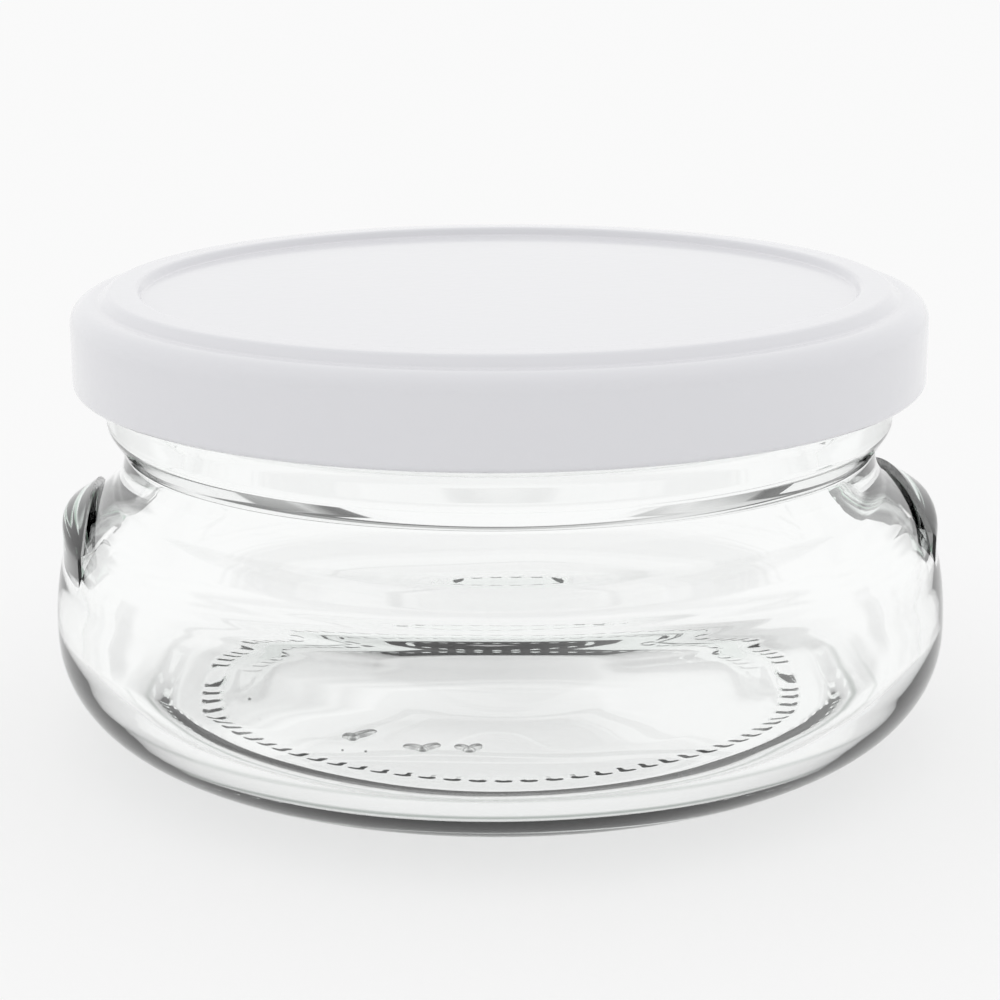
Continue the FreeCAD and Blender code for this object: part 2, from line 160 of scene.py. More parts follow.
def ramp(tree, value, low, high, start=0.0, end=1.0, kind="SMOOTHSTEP"):
    # start at low and beyond it, end at high and beyond it, whichever of low and high is larger
    node = tree.nodes.new("ShaderNodeMapRange")
    node.interpolation_type = kind
    terms = {"Value": value, "From Min": low, "From Max": high, "To Min": start, "To Max": end}
    for name, term in terms.items():
        feed(tree, node.inputs[name], term)
    return node.outputs["Result"]


def fineNoise(tree, scale):
    place = tree.nodes.new("ShaderNodeTexCoord")
    node = tree.nodes.new("ShaderNodeTexNoise")
    node.inputs["Scale"].default_value = scale
    tree.links.new(place.outputs["Object"], node.inputs["Vector"])
    return node.outputs["Fac"]


def colourMix(tree, share, low, high):
    node = tree.nodes.new("ShaderNodeMix")
    node.data_type = "RGBA"
    node.inputs["A"].default_value = low
    node.inputs["B"].default_value = high
    tree.links.new(share, node.inputs["Factor"])
    return node.outputs["Result"]


def shaderMix(tree, share, plain, other):
    # the material shows plain where share is 0 and other where it is 1
    node = tree.nodes.new("ShaderNodeMixShader")
    tree.links.new(share, node.inputs["Fac"])
    tree.links.new(plain, node.inputs[1])
    tree.links.new(other, node.inputs[2])
    tree.links.new(node.outputs["Shader"], tree.nodes["Material Output"].inputs["Surface"])


# the glass jar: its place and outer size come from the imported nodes, the rest is here
glassLow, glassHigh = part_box("glass_jar")
capLow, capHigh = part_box("twist_cap")
jar = {
    "bellyRadius": (glassHigh.y - glassLow.y) / 2 / mm,
    "rimHeight": glassHigh.z / mm,
    "capBottom": capLow.z / mm,
    "columns": 480, "sharpAngle": 32.0,
    "outsideArc": 8.0, "outsideRun": 2.1, "insideArc": 6.0, "insideRun": 3.0,
    # belly, shoulder and neck
    "bellyHeight": 14.3, "bellyLean": 7.0, "bellyBlend": 30.0,
    "shoulder": (44.42, 21.93), "shoulderBlend": 13.0,
    "neckRadius": 37.97, "neckLength": 2.85, "neckBlend": 4.5,
    # bead, finish and rim
    "beadRadius": 39.55, "beadGap": 0.90, "beadLength": 5.40, "beadSlope": 33.0,
    "beadFootBlend": 0.7, "beadBlend": 2.0, "beadTopBlend": 0.9,
    "finishRadius": 38.95, "finishStep": 0.8, "finishBlend": 0.45, "rimBlend": 1.1,
    # heel, bearing ring and the raised middle of the underside
    "heelWidth": 11.35, "heelAngle": 22.0, "heelBlend": 10.0,
    "bearingWidth": 5.5, "bearingBlend": 4.0,
    "puntStep": 0.55, "puntLead": 4.0, "puntBlend": 20.0, "puntRise": 0.75, "puntFlat": 12.0,
    # ribs under the bearing ring; the fade is in half lengths from the middle
    "ribCount": 80, "ribInset": 3.8, "ribDepth": 0.26, "ribLength": 1.7, "ribSharpness": 1.2,
    "ribSpread": 0.66, "ribSteps": 10, "ribFadeEnd": 1.3, "ribFade": 0.75,
    # walls and inside
    "mouthWall": 2.65, "neckWall": 2.60, "bodyWall": 2.30,
    "rimFlat": 1.2, "innerRimBlend": 0.9, "mouthFoot": 1.0, "mouthBlend": 6.0,
    "innerNeckHead": 0.6, "innerNeckHeadBlend": 4.0, "innerNeckFootBlend": 6.0, "innerShoulderBlend": 8.75,
    "innerHeelBlend": 8.02, "floorHeight": 4.20, "floorCrown": 0.25, "floorFlat": 16.0,
    # grips on the shoulder, at both ends of the x axis
    "gripInset": 0.94, "gripProud": 2.97, "gripTip": 0.30, "gripBlend": 0.7, "gripBlendMost": 0.6,
    "gripRise": 1.55, "gripSlope": 32.0, "gripCrown": 47.0, "gripEdgeGap": 0.0009,
    "gripFoot": 20.5, "gripHead": 27.0, "gripDepth": 5.5,
    # lug threads; flank and back are shares of the width
    "threadCount": 6, "threadSweep": 46.0, "threadRise": 1.10, "threadWidth": 1.90, "threadDepth": 1.15,
    "threadLow": 38.35, "threadEnd": 3.0, "threadFlank": 0.18, "threadBack": 0.5,
    # slow waves of the inside, and flat streaks low in the body
    "waveHeight": 0.045, "waveLength": 11.0, "waveBelowRim": 12.0, "waveFade": 8.0,
    "streakHeight": 0.05, "streakLength": 26.0, "streakRise": 1.7, "streakTop": 17.0, "streakFade": 6.0,
}


def glassOutline(size):
    # outside from the middle of the underside up to the rim, then the inside down to the floor's middle
    bearingOuter = size["bellyRadius"] - size["heelWidth"]
    bearingInner = bearingOuter - size["bearingWidth"]
    puntTop = size["puntStep"] + size["ribDepth"] + size["puntRise"]
    heelUp = size["ribDepth"] + size["heelWidth"] * math.tan(math.radians(size["heelAngle"]))
    beadTop = size["capBottom"] - size["beadGap"]
    beadFoot = beadTop - size["beadLength"]
    beadRise = (size["beadRadius"] - size["neckRadius"]) / math.tan(math.radians(size["beadSlope"]))
    neckFoot = beadFoot - size["neckLength"]
    mouthBore = size["finishRadius"] - size["mouthWall"]
    neckBore = size["neckRadius"] - size["neckWall"]
    bodyBore = size["bellyRadius"] - size["bodyWall"]
    outside = roundedOutline([
        (0, puntTop, None),
        (size["puntFlat"], puntTop, None),
        (bearingInner - size["puntLead"], size["puntStep"] + size["ribDepth"], size["puntBlend"]),
        (bearingInner, size["ribDepth"], size["puntBlend"]),
        (bearingOuter, size["ribDepth"], size["bearingBlend"]),
        (size["bellyRadius"], heelUp, size["heelBlend"]),
        (size["bellyRadius"], size["bellyHeight"], size["bellyBlend"]),
        (*size["shoulder"], size["shoulderBlend"]),
        (size["neckRadius"], neckFoot, size["neckBlend"]),
        (size["neckRadius"], beadFoot, size["beadFootBlend"]),
        (size["beadRadius"], beadFoot + beadRise, size["beadBlend"]),
        (size["beadRadius"], beadTop, size["beadTopBlend"]),
        (size["finishRadius"], beadTop + size["finishStep"], size["finishBlend"]),
        (size["finishRadius"], size["rimHeight"], size["rimBlend"]),
        (mouthBore, size["rimHeight"], None),
    ], size["outsideArc"], size["outsideRun"])

    # the inner shoulder's corner lies one wall in from the outer one
    shoulderAcross, shoulderUp = size["shoulder"]
    slope = math.atan((shoulderAcross - size["neckRadius"]) / (neckFoot - shoulderUp))
    lean = math.radians(size["bellyLean"])
    shift = size["bodyWall"] / math.cos((slope - lean) / 2)
    innerAcross = shoulderAcross - shift * math.cos((slope + lean) / 2)
    innerUp = shoulderUp - shift * math.sin((slope + lean) / 2)
    inside = roundedOutline([
        (size["finishRadius"] - size["rimFlat"], size["rimHeight"], None),
        (mouthBore, size["rimHeight"], size["innerRimBlend"]),
        (mouthBore, beadTop - size["mouthFoot"], size["mouthBlend"]),
        (neckBore, beadFoot + size["innerNeckHead"], size["innerNeckHeadBlend"]),
        (neckBore, neckFoot - size["neckWall"] * math.tan(slope / 2), size["innerNeckFootBlend"]),
        (innerAcross, innerUp, size["innerShoulderBlend"]),
        (bodyBore, size["bellyHeight"], size["bellyBlend"] - size["bodyWall"]),
        (bodyBore, size["floorHeight"], size["innerHeelBlend"]),
        (size["floorFlat"], size["floorHeight"] + size["floorCrown"], None),
        (0, size["floorHeight"] + size["floorCrown"], None),
    ], size["insideArc"], size["insideRun"])
    return outside[:-1], inside[1:]


def gripHalfAngle(size):
    outer = size["bellyRadius"] - size["gripInset"]
    return math.acos((outer - size["gripProud"] + size["gripTip"]) / outer)


def columnAngles(size):
    # even columns, with one pair moved to each end of the two grips
    step = 2 * math.pi / size["columns"]
    angles = [column * step for column in range(size["columns"])]
    half = gripHalfAngle(size)
    for side in (0, math.pi):
        for end in (side - half, side + half):
            nearest = round(end / step)
            low = nearest if nearest * step <= end else nearest - 1
            angles[low % size["columns"]] = (end - size["gripEdgeGap"]) % (2 * math.pi)
            angles[(low + 1) % size["columns"]] = (end + size["gripEdgeGap"]) % (2 * math.pi)
    return angles


def gripProfile(size, angle, above, outer, chord, steps):
    # one column through a grip: up its outer wall, over its crown, down its flat side, in along the shoulder
    slope = math.radians(size["gripSlope"])
    cornerHeight = size["shoulder"][1] + size["gripRise"]

    def crown(radius):
        # the crown falls outward, and toward both tips
        across, along = radius * abs(math.cos(angle)), radius * math.sin(angle)
        sag = size["gripCrown"] - math.sqrt(size["gripCrown"] ** 2 - along ** 2)
        return cornerHeight + (outer - across) * math.tan(slope) - sag / math.cos(slope)

    foot = atRadius(above, outer)
    sideRadius = chord / abs(math.cos(angle))
    corner = Vector((outer, crown(outer)))
    most = size["gripBlendMost"]                # share of the wall and crown that the rounding may take
    cut = min(size["gripBlend"], (outer - sideRadius) * most, (corner.y - foot) * most)
    low = corner - Vector((0, cut))
    high = Vector((outer - cut, crown(outer - cut)))
    profile = []
    for step in range(steps["wall"]):
        profile.append((outer, foot + (low.y - foot) * step / steps["wall"]))
    for step in range(steps["bend"] + 1):
        share = step / steps["bend"]
        bend = low * (1 - share) ** 2 + corner * 2 * share * (1 - share) + high * share ** 2
        profile.append((bend.x, bend.y))
    for step in range(1, steps["crown"] + 1):
        radius = high.x + (sideRadius - high.x) * step / steps["crown"]
        profile.append((radius, crown(radius)))
    sideTop, sideFoot = crown(sideRadius), atRadius(above, sideRadius)
    for step in range(1, steps["side"] + 1):
        profile.append((sideRadius, sideTop + (sideFoot - sideTop) * step / steps["side"]))
    for step in range(1, steps["shoulder"] + 1):
        radius = sideRadius + (chord - sideRadius) * step / steps["shoulder"]
        profile.append((radius, atRadius(above, radius)))
    return profile


def gripRows(size, outside):
    # rings over the height that the grips take, and that height's two ends
    outer = size["bellyRadius"] - size["gripInset"]
    chord = outer - size["gripProud"]
    reach = outer * math.sin(gripHalfAngle(size))
    above = [point for point in outside if point[1] > size["bellyHeight"]]
    steps = {"wall": 3, "bend": 5, "crown": 6, "side": 4, "shoulder": 5}
    total = sum(steps.values())
    plain = []                                  # the shoulder beside the grips over the same span
    for step in range(total + 1):
        radius = outer + (chord - outer) * step / total
        plain.append((radius, atRadius(above, radius)))
    angles = columnAngles(size)
    tolerance = 1e-3
    columns = []
    for angle in angles:
        gripped = outer * abs(math.sin(angle)) <= reach + tolerance
        columns.append(gripProfile(size, angle, above, outer, chord, steps) if gripped else plain)
    rings = []
    for step in range(total + 1):
        rings.append([around(profile[step][0], angle, profile[step][1])
                      for angle, profile in zip(angles, columns)])
    return rings, plain[0][1], plain[-1][1]


def threadBump(size, angle, height):
    # how far the lug thread stands out at one place on the finish
    sweep = math.radians(size["threadSweep"])
    offset = fromNearest(angle, size["threadCount"])
    ends = smoothStep((sweep / 2 - abs(offset)) / math.radians(size["threadEnd"]))
    low = size["threadLow"] + size["threadRise"] * offset / sweep
    up = (height - low) / size["threadWidth"]
    section = smoothStep(up / size["threadFlank"]) * smoothStep((1 - up) / size["threadBack"])
    return size["threadDepth"] * ends * section


def ribRows(size, ribMiddle, ribSpan, angles):
    # rounded ribs side by side under the bearing ring, which fade out at both ends
    rings = []
    for step in range(size["ribSteps"] + 1):
        radius = ribMiddle - ribSpan + 2 * ribSpan * step / size["ribSteps"]
        along = (radius - ribMiddle) / (size["ribLength"] / 2)
        fade = smoothStep((size["ribFadeEnd"] - abs(along)) / size["ribFade"])
        ring = []
        for angle in angles:
            wave = 0.5 + 0.5 * math.cos(angle * size["ribCount"])
            height = size["ribDepth"] * (1 - fade * wave ** size["ribSharpness"])
            ring.append(around(radius, angle, height))
        rings.append(ring)
    return rings


def outsideRows(size, outside, angles):
    # plain rings, but for the ribs under the base, the grips and the threads
    grips, gripLow, gripHigh = gripRows(size, outside)
    ribMiddle = size["bellyRadius"] - size["heelWidth"] - size["ribInset"]
    ribSpan = size["ribLength"] * size["ribSpread"]
    tolerance = 1e-6
    rows = [[(0, 0, outside[0][1])]]
    ribsPlaced = gripsPlaced = False
    for radius, height in outside[1:]:
        if ribMiddle - ribSpan < radius < ribMiddle + ribSpan and height <= size["ribDepth"] + tolerance:
            continue
        if not ribsPlaced and radius > ribMiddle:
            rows.extend(ribRows(size, ribMiddle, ribSpan, angles))
            ribsPlaced = True
        if gripLow <= height <= gripHigh:
            if not gripsPlaced:
                rows.extend(grips)
                gripsPlaced = True
            continue
        rows.append([around(radius + threadBump(size, angle, height), angle, height) for angle in angles])
    return rows


def insideRows(size, inside, angles):
    # the inside is never quite even: slow waves below the neck, and flatter streaks toward the floor
    rows = []
    for radius, height in inside[:-1]:
        waves = smoothStep((size["rimHeight"] - size["waveBelowRim"] - height) / size["waveFade"])
        streaks = smoothStep((size["streakTop"] - height) / size["streakFade"])
        ring = []
        for angle in angles:
            x, y, z = around(radius, angle, height)
            slow = Vector((x, y, z)) / size["waveLength"]
            flat = Vector((x / size["streakLength"], y / size["streakLength"], z / size["streakRise"]))
            wave = size["waveHeight"] * waves * noise.noise(slow)
            wave += size["streakHeight"] * streaks * noise.noise(flat)
            ring.append((x + x / radius * wave, y + y / radius * wave, z + wave))
        rows.append(ring)
    rows.append([(0, 0, inside[-1][1])])
    return rows


def buildGlass(size):
    outside, inside = glassOutline(size)
    angles = evenAngles(size["columns"])
    rows = outsideRows(size, outside, angles) + insideRows(size, inside, angles)
    return buildPiece("jar_glass", [rows], size["sharpAngle"])


def markGripShade(piece, size):
    # the grips' own faces take the piece's second material, the glass with the painted shade tint
    outer = size["bellyRadius"] - size["gripInset"]
    flatSide = outer - size["gripProud"] - 0.02         # a hair inside, so that the flat side is in
    reach = outer * math.sin(gripHalfAngle(size))
    for face in piece.data.polygons:
        x, y, z = face.center / mm
        within = abs(x) > flatSide and abs(y) < reach and size["gripFoot"] < z < size["gripHead"]
        if within and math.hypot(x, y) > size["bellyRadius"] - size["gripDepth"]:
            face.material_index = 1


# soda glass: the inner colour and density give the green that comes with depth, in absorption per metre
glassLook = {
    "ior": 1.51, "tint": (1, 1, 1, 1), "inner": (0.46, 0.72, 0.56, 1), "density": 6.0,
    "turnsInside": 8.5, "clear": (0.93, 0.94, 0.933, 1),
}
# the grips' glass has a darker green tint on its surfaces: painted shade, over the same glass as the body
gripShadeLook = dict(glassLook, tint=(0.88, 0.94, 0.91, 1))


def glassMaterial(name, look):
    # refracts and mirrors; shadow rays, and rays caught in the wall past turnsInside, go straight through
    material, tree, shader = newMaterial(name)
    shader.inputs["Base Color"].default_value = look["tint"]
    shader.inputs["Roughness"].default_value = 0.0
    shader.inputs["IOR"].default_value = look["ior"]
    shader.inputs["Transmission Weight"].default_value = 1.0
    depth = tree.nodes.new("ShaderNodeVolumeAbsorption")
    depth.inputs["Color"].default_value = look["inner"]
    depth.inputs["Density"].default_value = look["density"]
    tree.links.new(depth.outputs["Volume"], tree.nodes["Material Output"].inputs["Volume"])
    clear = tree.nodes.new("ShaderNodeBsdfTransparent")
    clear.inputs["Color"].default_value = look["clear"]
    path = tree.nodes.new("ShaderNodeLightPath")
    caught = calculate(tree, "GREATER_THAN", path.outputs["Ray Depth"], look["turnsInside"])
    either = calculate(tree, "MAXIMUM", path.outputs["Is Shadow Ray"], caught)
    shaderMix(tree, either, shader.outputs["BSDF"], clear.outputs["BSDF"])
    return material


jarGlass = buildGlass(jar)
jarGlass.data.materials.append(glassMaterial("greenish flint glass", glassLook))
jarGlass.data.materials.append(glassMaterial("grip glass with painted shade", gripShadeLook))
markGripShade(jarGlass, jar)
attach(jarGlass, "root")
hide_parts("glass_jar")
print("glass:", len(jarGlass.data.polygons), "faces")


# small clear drops on the inner floor, sunk a little into it
drops = {
    "floor": jar["floorHeight"] + jar["floorCrown"], "sink": 0.12,
    "columns": 48, "rings": 10, "sharpAngle": 60.0,
    # place across and along, radius, height, arms; an arm is its direction, reach and half width,
    # the first and last in degrees
    "blobs": (
        ((-15.9, -18.6), 0.55, 0.50, ((34, 2.3, 17), (140, 0.75, 26))),
        ((-9.4, -22.9), 0.55, 0.55, ((42, 1.9, 19), (138, 1.8, 19))),
        ((-5.0, -23.2), 0.58, 0.52, ((50, 1.45, 22), (130, 1.35, 22))),
        ((-17.0, -22.8), 0.13, 0.10, ()),
        ((-14.8, -23.3), 0.15, 0.10, ()),
        ((-26.2, -6.2), 0.18, 0.12, ()),
    ),
}
# the drops' dark colour is painted shade: it shows at their curving rims and on the foot that faces world -Y,
# standing in for the dark a clear drop refracts
dropLook = {
    "colour": (0.05, 0.06, 0.055, 1), "roughness": 0.03, "edge": 0.55, "middle": 0.03, "rim": 0.75,
    "facing": (0.3, 0.9), "foot": 0.8, "footShadeTurn": (-0.55, -0.95),
}


def dropOutline(angle, radius, arms):
    for direction, length, width in arms:
        off = (math.degrees(angle) - direction + 180) % 360 - 180
        radius += length * math.exp(-(off / width) ** 2)
    return radius


def buildDrops(size):
    # each drop is a closed dome over a round outline with rounded arms
    shapes = []
    for (across, along), radius, rise, arms in size["blobs"]:
        rows = [[(across, along, size["floor"] - size["sink"])]]
        for ring in range(size["rings"]):
            share = math.cos(math.pi / 2 * ring / size["rings"])
            height = size["floor"] + rise * math.sin(math.pi / 2 * ring / size["rings"])
            if ring == 0:
                height -= size["sink"]
            points = []
            for angle in evenAngles(size["columns"]):
                x, y, z = around(dropOutline(angle, radius, arms) * share, angle, height)
                points.append((across + x, along + y, z))
            rows.append(points)
        rows.append([(across, along, size["floor"] + rise)])
        shapes.append(rows)
    return buildPiece("clear_drops", shapes, size["sharpAngle"])


def dropMaterial(look):
    # nearly nothing in a drop's middle; painted shade where it curves away and on the foot that faces the
    # front, fixed to that side from every view
    material, tree, shader = newMaterial("clear drop")
    shader.inputs["Base Color"].default_value = look["colour"]
    shader.inputs["Roughness"].default_value = look["roughness"]
    weight = tree.nodes.new("ShaderNodeLayerWeight")
    weight.inputs["Blend"].default_value = look["edge"]
    # painted shade along the rim, where the drop curves away
    paintedRimShade = ramp(tree, weight.outputs["Facing"], *look["facing"], look["middle"], look["rim"], kind="LINEAR")
    place = tree.nodes.new("ShaderNodeNewGeometry")
    split = tree.nodes.new("ShaderNodeSeparateXYZ")
    tree.links.new(place.outputs["Normal"], split.inputs["Vector"])
    # painted shade on the foot's side that faces world -Y
    foot = ramp(tree, split.outputs["Y"], *look["footShadeTurn"], 0.0, look["foot"], kind="LINEAR")
    tree.links.new(calculate(tree, "MAXIMUM", paintedRimShade, foot), shader.inputs["Alpha"])
    return material


clearDrops = buildDrops(drops)
clearDrops.data.materials.append(dropMaterial(dropLook))
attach(clearDrops, "root")
print("drops:", len(drops["blobs"]))


# the cap: one sheet of tinplate; blends are those of its outer face
cap = {
    "radius": (capHigh.x - capLow.x) / 2 / mm, "bottom": capLow.z / mm, "crest": capHigh.z / mm,
    "columns": 240, "sharpAngle": 50.0, "run": 4.0, "steel": 0.25,
    "panelDrop": 0.85, "panelSlope": 60.0, "panelBlend": 0.35,
    "crestInner": 36.05, "crestInnerBlend": 0.6, "crestOuter": 38.85, "crestOuterBlend": 0.8,
    "ledgeDrop": 1.0, "ledgeSlope": 45.0, "ledgeBlend": 0.55, "skirtBlend": 2.0,
    "curlWidth": 1.5, "curlHeight": 1.35, "curlBlend": 0.7, "curlEdgeBlend": 0.1,
    "lugCount": 6, "lugWidth": 8.0, "lugReach": 39.25, "lugHeight": 1.70, "lugEdge": 1.6,
    "lugRun": 0.6, "lugRunBlend": 0.5, "lugTop": 0.3,
}
lacquerLook = {
    "colour": (0.80, 0.80, 0.83, 1), "smooth": 0.12, "rough": 0.21, "peel": 0.05,
    "coat": 0.35, "coatRough": 0.05,
}
# the inside lacquer's dark grey is painted shade, standing in for the shadow inside the cap
insideShadeLook = dict(lacquerLook, colour=(0.16, 0.17, 0.165, 1), smooth=0.31, rough=0.40, coat=0.0)
lacquerScale = {"peel": 900.0, "peelDepth": 0.0002, "cloud": 60.0}


def capOutline(size):
    # the outer face from the panel's middle down to the curl, then the inner face back to the middle
    radius, bottom, crest, steel = size["radius"], size["bottom"], size["crest"], size["steel"]
    ledge = crest - size["ledgeDrop"]
    panel = crest - size["panelDrop"]
    ledgeInner = size["crestOuter"] + size["ledgeDrop"] / math.tan(math.radians(size["ledgeSlope"]))
    panelOuter = size["crestInner"] - size["panelDrop"] / math.tan(math.radians(size["panelSlope"]))
    crestShift = steel * math.tan(math.radians(size["ledgeSlope"] / 2))
    panelShift = steel * math.tan(math.radians(size["panelSlope"] / 2))
    curlInner = radius - size["curlWidth"]
    curlTop = bottom + size["curlHeight"]
    return roundedOutline([
        (0, panel, None),
        (panelOuter, panel, size["panelBlend"]),
        (size["crestInner"], crest, size["crestInnerBlend"]),
        (size["crestOuter"], crest, size["crestOuterBlend"]),
        (ledgeInner, ledge, size["ledgeBlend"]),
        (radius, ledge, size["skirtBlend"]),
        (radius, bottom, size["curlBlend"]),
        (curlInner, bottom, size["curlBlend"]),
        (curlInner, curlTop, size["curlEdgeBlend"]),
        (curlInner + steel, curlTop, size["curlEdgeBlend"]),
        (curlInner + steel, bottom + steel, size["curlBlend"] - steel),
        (radius - steel, bottom + steel, size["curlBlend"] - steel),
        (radius - steel, ledge - steel, size["skirtBlend"] - steel),
        (ledgeInner - crestShift, ledge - steel, size["ledgeBlend"] + steel),
        (size["crestOuter"] - crestShift, crest - steel, size["crestOuterBlend"] - steel),
        (size["crestInner"] + panelShift, crest - steel, size["crestInnerBlend"] - steel),
        (panelOuter + panelShift, panel - steel, size["panelBlend"] + steel),
        (0, panel - steel, None),
    ], runStep=size["run"])


def buildCap(size):
    # turned from the outline, with the curl's inner wall pressed inward at each lug
    steel = size["steel"]
    curlInner = size["radius"] - size["curlWidth"]
    curlTop = size["bottom"] + size["curlHeight"]
    curlEnd = curlInner + steel + size["lugRun"]
    angles = evenAngles(size["columns"])
    rows = []
    for place, height in reversed(capOutline(size)):     # from the inside out, so that the faces look outward
        if place == 0:
            rows.append([(0, 0, height)])
            continue
        inCurl = height < curlTop + size["curlEdgeBlend"]
        wall = smoothStep((curlEnd - place) / size["lugRunBlend"]) * inCurl
        edge = height > curlTop - size["lugTop"]
        ring = []
        for angle in angles:
            offset = abs(fromNearest(angle, size["lugCount"])) * size["radius"]
            press = wall * smoothStep((size["lugWidth"] / 2 + size["lugEdge"] / 2 - offset) / size["lugEdge"])
            reach = place - (curlInner - size["lugReach"]) * press
            rise = (size["lugHeight"] - size["curlHeight"]) * press * edge
            ring.append(around(reach, angle, height + rise))
        rows.append(ring)
    return buildPiece("cap_steel", [rows], size["sharpAngle"])


def lacquerSurface(scale):
    # orange peel as a normal, and a cloudy gloss between two roughnesses
    group = bpy.data.node_groups.new("lacquer surface", "ShaderNodeTree")
    for name in ("Smooth", "Rough", "Peel"):
        group.interface.new_socket(name, in_out="INPUT", socket_type="NodeSocketFloat")
    group.interface.new_socket("Roughness", in_out="OUTPUT", socket_type="NodeSocketFloat")
    group.interface.new_socket("Normal", in_out="OUTPUT", socket_type="NodeSocketVector")
    entry = group.nodes.new("NodeGroupInput")
    result = group.nodes.new("NodeGroupOutput")
    bump = group.nodes.new("ShaderNodeBump")
    bump.inputs["Distance"].default_value = scale["peelDepth"]
    group.links.new(entry.outputs["Peel"], bump.inputs["Strength"])
    group.links.new(fineNoise(group, scale["peel"]), bump.inputs["Height"])
    group.links.new(bump.outputs["Normal"], result.inputs["Normal"])
    gloss = ramp(group, fineNoise(group, scale["cloud"]), 0.0, 1.0,
                 entry.outputs["Smooth"], entry.outputs["Rough"], kind="LINEAR")
    group.links.new(gloss, result.inputs["Roughness"])
    return group


def lacquerMaterial(name, look, surface):
    # lacquer over tinplate
    material, tree, shader = newMaterial(name)
    shader.inputs["Base Color"].default_value = look["colour"]
    shader.inputs["Coat Weight"].default_value = look["coat"]
    shader.inputs["Coat Roughness"].default_value = look["coatRough"]
    finish = tree.nodes.new("ShaderNodeGroup")
    finish.node_tree = surface
    finish.inputs["Smooth"].default_value = look["smooth"]
    finish.inputs["Rough"].default_value = look["rough"]
    finish.inputs["Peel"].default_value = look["peel"]
    tree.links.new(finish.outputs["Roughness"], shader.inputs["Roughness"])
    tree.links.new(finish.outputs["Normal"], shader.inputs["Normal"])
    return material


def markShadedInside(piece, size):
    # faces inside the panel, ledge and skirt take the piece's second material, painted dark as the shade
    # inside the cap; the curl keeps the first
    lowest, highest = size["bottom"] + size["curlHeight"], size["crest"] - size["steel"] / 2
    down, inward = -0.2, -0.3                   # how far a face has to lean to count as an inside face
    for face in piece.data.polygons:
        x, y, z = face.center / mm
        outward = Vector((x, y, 0)).normalized()
        skirt = math.hypot(x, y) > size["crestOuter"]
        facesIn = face.normal.z < down or (skirt and face.normal.dot(outward) < inward)
        if facesIn and lowest < z < highest:
            face.material_index = 1


capSteel = buildCap(cap)
lacquerFinish = lacquerSurface(lacquerScale)
capSteel.data.materials.append(lacquerMaterial("white cap lacquer", lacquerLook, lacquerFinish))
capSteel.data.materials.append(lacquerMaterial("inside lacquer with painted shade", insideShadeLook, lacquerFinish))
markShadedInside(capSteel, cap)
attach(capSteel, "root")
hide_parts("twist_cap")
print("cap:", len(capSteel.data.polygons), "faces")


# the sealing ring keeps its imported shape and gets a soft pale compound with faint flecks
sealLook = {
    "pale": (0.70, 0.70, 0.69, 1), "paler": (0.78, 0.78, 0.77, 1), "fleck": 400.0,
    "roughness": 0.5, "scatter": 0.05, "scatterReach": 0.001,
}


def sealMaterial(look):
    material, tree, shader = newMaterial("sealing compound")
    shader.inputs["Roughness"].default_value = look["roughness"]
    shader.inputs["Subsurface Weight"].default_value = look["scatter"]
    shader.inputs["Subsurface Radius"].default_value = (look["scatterReach"],) * 3
    tone = colourMix(tree, fineNoise(tree, look["fleck"]), look["pale"], look["paler"])
    tree.links.new(tone, shader.inputs["Base Color"])
    return material


compound = sealMaterial(sealLook)
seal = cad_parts["sealing_ring"]
for slot in seal.material_slots:
    slot.material = compound
print("seal: pale compound on", len(seal.material_slots), "slot")


# a pale floor that shows near white, with some of the shadow kept
floorLook = {
    "side": 3.0, "drop": 0.00002, "colour": (0.93, 0.93, 0.93, 1), "roughness": 0.9,
    # share of plain white: as seen straight or mirrored, and as seen through glass
    "glow": 0.65, "glassGlow": 0.88,
    # shade under the front of the heel, seen only through glass: each ring's radius, half width and depth
    "shadeRings": ((42.0, 0.8, 0.32), (37.4, 1.0, 0.62)), "shadeColour": (0.16, 0.22, 0.18, 1),
    "shadeNone": 12.0, "shadeFull": -5.0,       # how far back the rings are gone, and where they are full
}


def floorMaterial(look):
    material, tree, shader = newMaterial("pale floor")
    shader.inputs["Base Color"].default_value = look["colour"]
    shader.inputs["Roughness"].default_value = look["roughness"]
    shader.inputs["Specular IOR Level"].default_value = 0.0
    place = tree.nodes.new("ShaderNodeNewGeometry")
    reach = tree.nodes.new("ShaderNodeVectorMath")
    reach.operation = "LENGTH"
    tree.links.new(place.outputs["Position"], reach.inputs[0])
    split = tree.nodes.new("ShaderNodeSeparateXYZ")
    tree.links.new(place.outputs["Position"], split.inputs["Vector"])
    forward = ramp(tree, split.outputs["Y"], look["shadeNone"] * mm, look["shadeFull"] * mm)
    shade = 0.0
    for radius, width, depth in look["shadeRings"]:
        signed = calculate(tree, "SUBTRACT", reach.outputs["Value"], radius * mm)
        ring = ramp(tree, calculate(tree, "ABSOLUTE", signed), width * mm, 0.0)
        shade = calculate(tree, "ADD", shade, calculate(tree, "MULTIPLY", ring, depth), clamp=True)
    path = tree.nodes.new("ShaderNodeLightPath")
    throughGlass = path.outputs["Is Transmission Ray"]
    straight = calculate(tree, "MAXIMUM", path.outputs["Is Camera Ray"], path.outputs["Is Glossy Ray"])
    seen = calculate(tree, "MULTIPLY", calculate(tree, "MULTIPLY", shade, forward), throughGlass)
    glow = tree.nodes.new("ShaderNodeEmission")
    tree.links.new(colourMix(tree, seen, (1, 1, 1, 1), look["shadeColour"]), glow.inputs["Color"])
    share = calculate(tree, "MAXIMUM", calculate(tree, "MULTIPLY", straight, look["glow"]),
                      calculate(tree, "MULTIPLY", throughGlass, look["glassGlow"]))
    shaderMix(tree, share, shader.outputs["BSDF"], glow.outputs["Emission"])
    return material


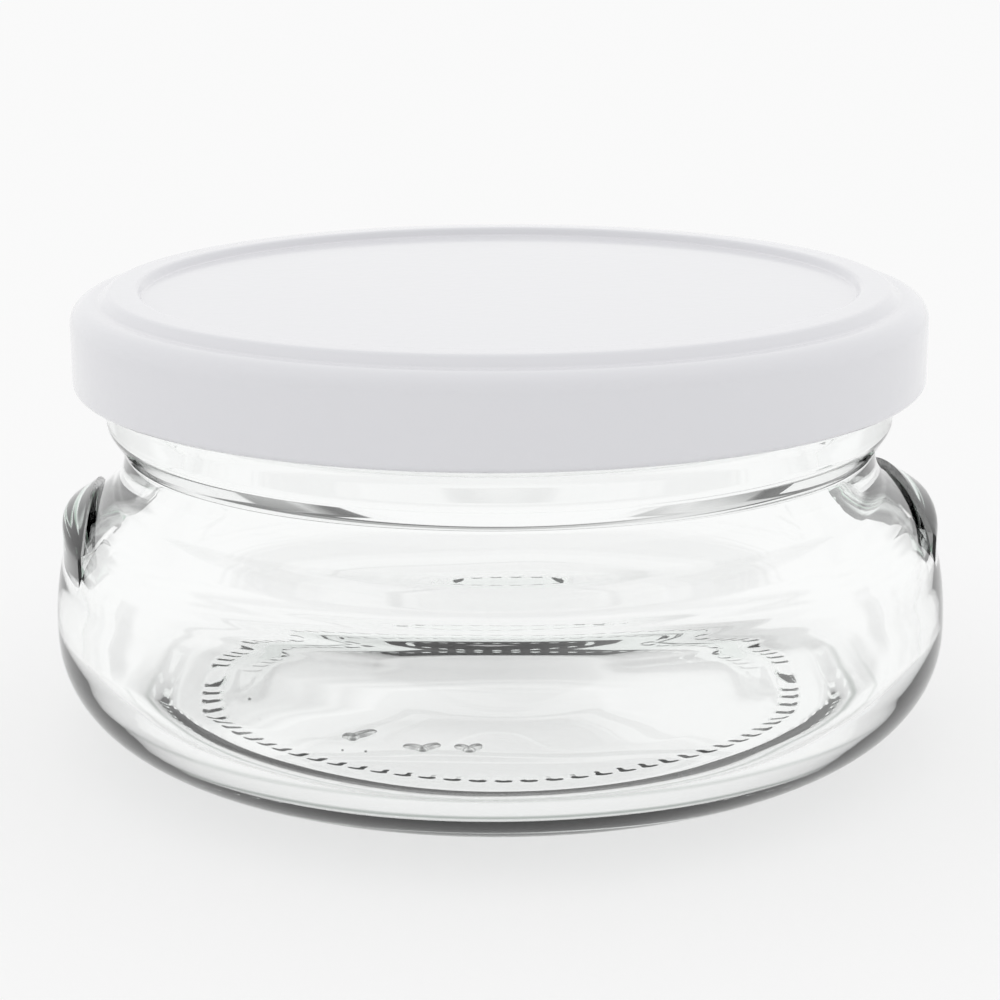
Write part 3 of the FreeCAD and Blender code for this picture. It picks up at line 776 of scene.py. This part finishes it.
def placeFloor(look):
    side = look["side"]
    mesh = bpy.data.meshes.new("floor")
    corners = [(-side, -side, 0), (side, -side, 0), (side, side, 0), (-side, side, 0)]
    mesh.from_pydata(corners, [], [(0, 1, 2, 3)])
    mesh.materials.append(floorMaterial(look))
    floor = bpy.data.objects.new("floor", mesh)
    bpy.context.scene.collection.objects.link(floor)
    floor.location.z = -look["drop"]


# a white room, dimmer toward the front; behind the jar it has dark cards that show only through glass
roomLook = {
    "strength": 1.0, "frontDim": 0.20, "frontStart": 0.10, "frontEnd": -0.60,
    # cards by direction: middle and half width to each side, middle and half height, depth
    "cards": ((0.44, 0.25, 0.0, 0.28, 0.92), (0.0, 0.13, 0.32, 0.08, 0.85)), "cardEdge": 0.05,
}


def cardSpan(tree, direction, middle, half, edge):
    # 1 across one side of a card, softly 0 beyond it
    off = calculate(tree, "ABSOLUTE", calculate(tree, "SUBTRACT", direction, middle))
    return ramp(tree, off, half + edge, half - edge)


def placeRoom(look):
    world = bpy.data.worlds.new("studio")
    bpy.context.scene.world = world
    world.use_nodes = True
    tree = world.node_tree
    background = tree.nodes["Background"]
    background.inputs["Color"].default_value = (1, 1, 1, 1)
    place = tree.nodes.new("ShaderNodeTexCoord")
    split = tree.nodes.new("ShaderNodeSeparateXYZ")
    tree.links.new(place.outputs["Generated"], split.inputs["Vector"])
    path = tree.nodes.new("ShaderNodeLightPath")
    across = calculate(tree, "ABSOLUTE", split.outputs["X"])
    back = calculate(tree, "GREATER_THAN", split.outputs["Y"], 0.0)
    behindGlass = calculate(tree, "MULTIPLY", back, path.outputs["Is Transmission Ray"])
    front = ramp(tree, split.outputs["Y"], look["frontStart"], look["frontEnd"])
    dim = calculate(tree, "MULTIPLY", front, look["frontDim"])
    for middle, half, rise, halfRise, depth in look["cards"]:
        wide = cardSpan(tree, across, middle, half, look["cardEdge"])
        tall = cardSpan(tree, split.outputs["Z"], rise, halfRise, look["cardEdge"])
        card = calculate(tree, "MULTIPLY", calculate(tree, "MULTIPLY", wide, tall), behindGlass)
        dim = calculate(tree, "ADD", dim, calculate(tree, "MULTIPLY", card, depth))
    room = calculate(tree, "SUBTRACT", look["strength"], dim, clamp=True)
    strength = calculate(tree, "MAXIMUM", room, path.outputs["Is Camera Ray"])
    tree.links.new(strength, background.inputs["Strength"])


# the camera looks down at the jar's shoulder, a little left of the grips' square-on view
view = {
    "turn": math.radians(4.9), "pitch": 0.2602, "roll": 0.0042,     # radians
    "distance": 230.0, "height": 84.22, "lens": 83.13, "sensor": 36.0, "nearest": 0.01, "farthest": 20.0,
}


def placeCamera(size):
    data = bpy.data.cameras.new("camera")
    data.lens = size["lens"]
    data.sensor_width = size["sensor"]
    data.clip_start = size["nearest"]
    data.clip_end = size["farthest"]
    camera = bpy.data.objects.new("camera", data)
    bpy.context.scene.collection.objects.link(camera)
    turn, distance = size["turn"], size["distance"]
    camera.location = (-distance * math.sin(turn) * mm, -distance * math.cos(turn) * mm, size["height"] * mm)
    level = Matrix.Rotation(-turn, 3, "Z") @ Matrix.Rotation(math.pi / 2 - size["pitch"], 3, "X")
    camera.rotation_euler = (level @ Matrix.Rotation(-size["roll"], 3, "Z")).to_euler()
    bpy.context.scene.camera = camera


placeFloor(floorLook)
placeRoom(roomLook)
placeCamera(view)
bpy.context.scene.view_settings.view_transform = "Standard"
print("floor, room and camera placed")
